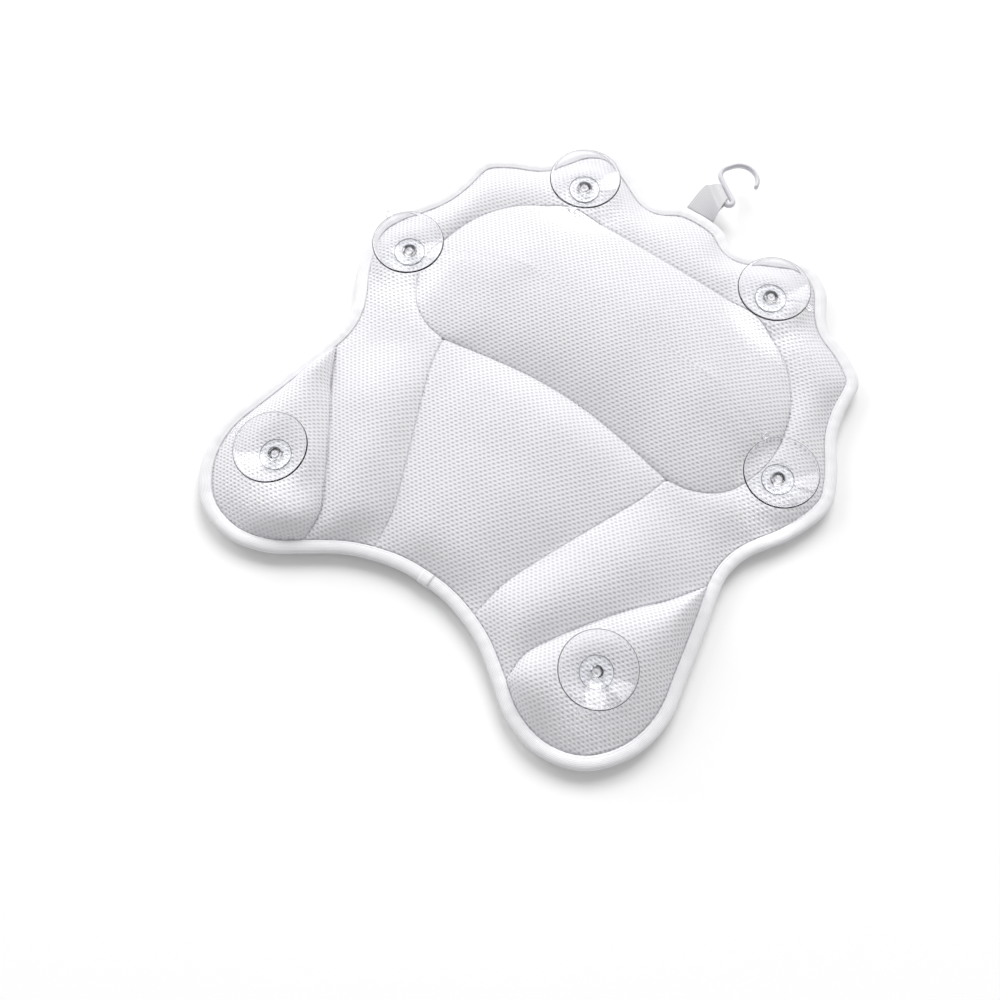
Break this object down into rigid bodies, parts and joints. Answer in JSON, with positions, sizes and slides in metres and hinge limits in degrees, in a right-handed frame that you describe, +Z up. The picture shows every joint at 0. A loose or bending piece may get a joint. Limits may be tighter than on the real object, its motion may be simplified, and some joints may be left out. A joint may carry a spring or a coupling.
{
  "type": "bath pillow",
  "caption": "Padded air-mesh bath pillow with a head bolster, scalloped crown and two wings, clear suction cups on its back and a hook on a webbing strap.",
  "frame": {"origin": "on the flat underside of the front cover, at the middle of the centre channel", "axes": "+Z up through the back with its suction cups, +Y towards the hook, +X to the right seen from above with the hook away"},
  "size_m": [0.4156, 0.485, 0.05],
  "materials": {
    "mesh_fabric": "white three-dimensional air mesh",
    "binding_tape": "white woven tape",
    "webbing": "white woven webbing",
    "wadding": "white fibre filling",
    "clear_vinyl": "clear glossy soft vinyl",
    "white_plastic": "white glossy"
  },
  "bodies": {
    "pillow": {"back_cover": "mesh_fabric", "front_cover": "mesh_fabric", "edge_binding": "binding_tape", "bolster_filling": "wadding", "centre_filling": "wadding", "border_filling": "wadding", "right_wing_filling": "wadding", "left_wing_filling": "wadding", "left_crown_washer": "clear_vinyl", "left_crown_backing_washer": "clear_vinyl", "right_crown_washer": "clear_vinyl", "right_crown_backing_washer": "clear_vinyl", "left_side_washer": "clear_vinyl", "left_side_backing_washer": "clear_vinyl", "right_side_washer": "clear_vinyl", "right_side_backing_washer": "clear_vinyl", "left_wing_washer": "clear_vinyl", "left_wing_backing_washer": "clear_vinyl", "right_wing_washer": "clear_vinyl", "right_wing_backing_washer": "clear_vinyl"},
    "left_crown_cup": {"left_crown_cup": "clear_vinyl"},
    "right_crown_cup": {"right_crown_cup": "clear_vinyl"},
    "left_side_cup": {"left_side_cup": "clear_vinyl"},
    "right_side_cup": {"right_side_cup": "clear_vinyl"},
    "left_wing_cup": {"left_wing_cup": "clear_vinyl"},
    "right_wing_cup": {"right_wing_cup": "clear_vinyl"},
    "hanging_strap": {"hanging_strap": "webbing"},
    "hook": {"hook": "white_plastic"}
  },
  "joints": [
    {"name": "left_crown_cup_spin", "type": "hinge", "parent": "pillow", "child": "left_crown_cup", "pos_m": [-0.08508, 0.20085, 0.02866], "axis": [-0.0142, 0.0014, 0.9999], "continuous": true},
    {"name": "right_crown_cup_spin", "type": "hinge", "parent": "pillow", "child": "right_crown_cup", "pos_m": [0.08508, 0.20085, 0.02866], "axis": [0.0142, 0.0014, 0.9999], "continuous": true},
    {"name": "left_side_cup_spin", "type": "hinge", "parent": "pillow", "child": "left_side_cup", "pos_m": [-0.16599, 0.07844, 0.02219], "axis": [-0.0112, -0.0158, 0.9998], "continuous": true},
    {"name": "right_side_cup_spin", "type": "hinge", "parent": "pillow", "child": "right_side_cup", "pos_m": [0.16599, 0.07844, 0.02219], "axis": [0.0112, -0.0158, 0.9998], "continuous": true},
    {"name": "left_wing_cup_spin", "type": "hinge", "parent": "pillow", "child": "left_wing_cup", "pos_m": [-0.13897, -0.11803, 0.03129], "axis": [-0.0898, -0.0789, 0.9928], "continuous": true},
    {"name": "right_wing_cup_spin", "type": "hinge", "parent": "pillow", "child": "right_wing_cup", "pos_m": [0.13897, -0.11803, 0.03129], "axis": [0.0898, -0.0789, 0.9928], "continuous": true},
    {"name": "strap_flex", "type": "hinge", "parent": "pillow", "child": "hanging_strap", "pos_m": [-0.0035, 0.24806, 0.009], "axis": [1, 0, 0], "range_deg": [-90, 50]},
    {"name": "hook_swing", "type": "hinge", "parent": "hanging_strap", "child": "hook", "pos_m": [0.01114, 0.26008, 0.019], "axis": [-0.8192, 0.5736, 0], "range_deg": [-100, 100]}
  ]
}
